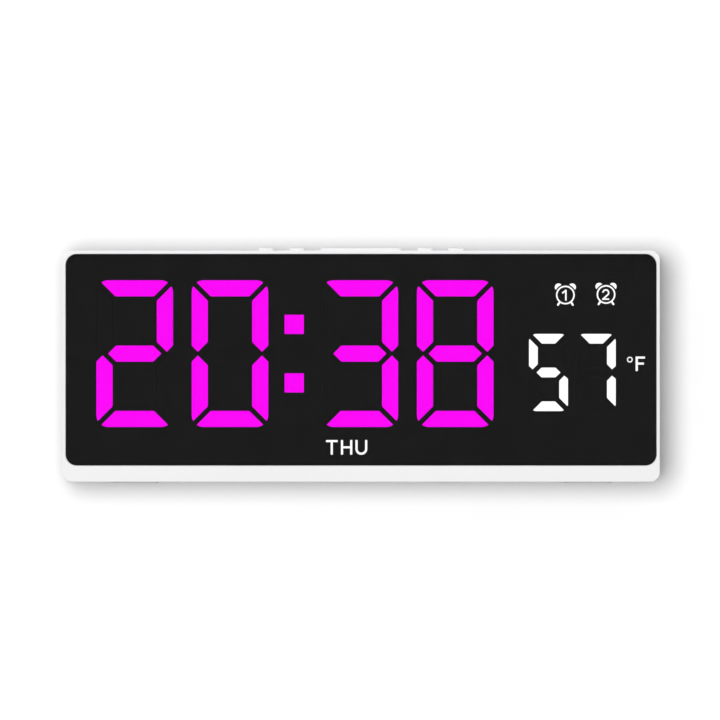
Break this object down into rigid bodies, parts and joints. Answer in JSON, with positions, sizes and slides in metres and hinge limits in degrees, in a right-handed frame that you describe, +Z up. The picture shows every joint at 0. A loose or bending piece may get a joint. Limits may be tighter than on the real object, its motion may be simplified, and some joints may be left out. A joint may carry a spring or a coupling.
{
  "type": "digital led clock",
  "caption": "White slim LED clock with magenta segment time, weekday, temperature and alarm lamps behind a black lens, a snooze bar and buttons on top, keyholes and coin cell door behind.",
  "frame": {"origin": "on the surface that the clock stands on, under the middle of its box", "axes": "+X to the right as seen from the front, -Y out of the display, +Z up"},
  "size_m": [0.25, 0.036, 0.0983],
  "materials": {
    "white_plastic": "satin moulded white",
    "smoked_acrylic": "smoked, polished",
    "black_tape": "matt foam tape",
    "black_film": "matt printed film",
    "black_moulding": "matt moulded black",
    "dark_diffuser": "tinted diffuser, unlit",
    "magenta_diffuser": "diffuser lit from behind",
    "white_diffuser": "diffuser lit from behind",
    "led_package": "moulded LED package",
    "circuit_board": "green solder mask",
    "chip_resin": "matt black resin",
    "capacitor_sleeve": "shrunk sleeve",
    "bright_steel": "bright nickel plate",
    "screw_steel": "zinc plate",
    "gold_contact": "plated spring brass",
    "sensor_bead": "epoxy bead",
    "clear_silicone": "clear matt silicone"
  },
  "bodies": {
    "clock_case": {"front_housing": "white_plastic", "rear_cover": "white_plastic", "lens": "smoked_acrylic", "lens_tape": "black_tape", "display_mask": "black_film", "reflector_frame": "black_moulding", "unlit_segments": "dark_diffuser", "lamp_diffusers": "white_diffuser", "display_leds": "led_package", "display_board": "circuit_board", "control_board": "circuit_board", "key_board": "circuit_board", "board_connector": "black_moulding", "key_header": "black_moulding", "key_switches": "black_moulding", "power_socket_tongue": "black_moulding", "cell_holder": "black_moulding", "driver_chips": "chip_resin", "microcontroller": "chip_resin", "sounder": "black_moulding", "smoothing_capacitor": "capacitor_sleeve", "quartz_crystal": "bright_steel", "power_socket_shell": "bright_steel", "coin_cell": "bright_steel", "cell_contact": "gold_contact", "temperature_sensor": "sensor_bead", "foot_pads": "clear_silicone", "cover_screws": "screw_steel", "display_board_screws": "screw_steel", "control_board_screws": "screw_steel", "key_board_screws": "screw_steel", "hour_tens_digit": "magenta_diffuser", "hour_units_digit": "magenta_diffuser", "colon_dots": "magenta_diffuser", "minute_tens_digit": "magenta_diffuser", "minute_units_digit": "magenta_diffuser", "temperature_tens_digit": "white_diffuser", "temperature_units_digit": "white_diffuser"},
    "snooze": {"snooze_bar": "white_plastic", "snooze_plunger": "black_moulding"},
    "left_outer": {"left_outer_button": "white_plastic", "left_outer_plunger": "black_moulding"},
    "left_inner": {"left_inner_button": "white_plastic", "left_inner_plunger": "black_moulding"},
    "right_inner": {"right_inner_button": "white_plastic", "right_inner_plunger": "black_moulding"},
    "right_outer": {"right_outer_button": "white_plastic", "right_outer_plunger": "black_moulding"},
    "cell_door": {"cell_door": "white_plastic"}
  },
  "joints": [
    {"name": "snooze_press", "type": "slide", "parent": "clock_case", "child": "snooze", "axis": [0, 0, -1], "range_m": [0, 0.0005], "stiffness_N_per_m": 800, "springref_m": -0.001},
    {"name": "left_outer_press", "type": "slide", "parent": "clock_case", "child": "left_outer", "axis": [0, 0, -1], "range_m": [0, 0.0005], "stiffness_N_per_m": 800, "springref_m": -0.001},
    {"name": "left_inner_press", "type": "slide", "parent": "clock_case", "child": "left_inner", "axis": [0, 0, -1], "range_m": [0, 0.0005], "stiffness_N_per_m": 800, "springref_m": -0.001},
    {"name": "right_inner_press", "type": "slide", "parent": "clock_case", "child": "right_inner", "axis": [0, 0, -1], "range_m": [0, 0.0005], "stiffness_N_per_m": 800, "springref_m": -0.001},
    {"name": "right_outer_press", "type": "slide", "parent": "clock_case", "child": "right_outer", "axis": [0, 0, -1], "range_m": [0, 0.0005], "stiffness_N_per_m": 800, "springref_m": -0.001},
    {"name": "cell_door_twist", "type": "hinge", "parent": "clock_case", "child": "cell_door", "pos_m": [0.028, 0.0179, 0.0418], "axis": [0, 1, 0], "range_deg": [0, 60]}
  ]
}
